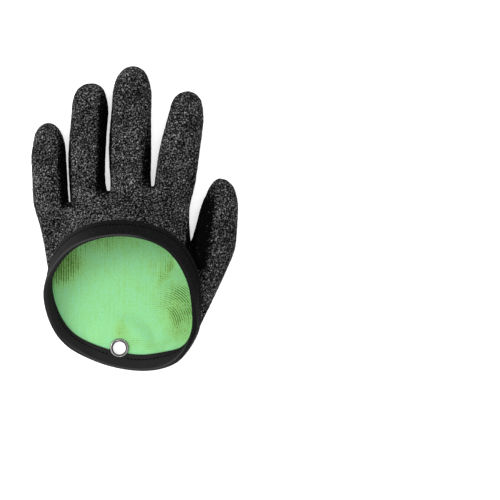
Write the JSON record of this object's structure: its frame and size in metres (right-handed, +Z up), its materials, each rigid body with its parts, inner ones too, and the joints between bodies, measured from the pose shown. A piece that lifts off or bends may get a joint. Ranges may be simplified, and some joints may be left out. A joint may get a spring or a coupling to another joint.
{
  "type": "fishing glove",
  "caption": "Hand-shaped knitted glove dipped in crinkled latex, cut away over the back of the hand, with a tape-bound mouth and a metal eyelet in the heel of the palm.",
  "frame": {"origin": "on the surface that the glove lies on, under the middle of its outline", "axes": "+X to the thumb's side, +Y to the fingertips, +Z up, out of the back of the hand"},
  "size_m": [0.1448, 0.2134, 0.0323],
  "materials": {
    "crinkled_latex": "matt crinkled latex, black with grey grains",
    "green_knit": "fine plain knit, light green",
    "black_tape": "matt folded elastic tape, black, with a row of stitches",
    "plated_metal": "bright nickel plate",
    "plain_metal": "satin"
  },
  "bodies": {
    "root": {"latex_coat": "crinkled_latex", "knit_liner": "green_knit", "mouth_binding": "black_tape", "eyelet": "plated_metal", "eyelet_washer": "plain_metal"}
  },
  "joints": []
}
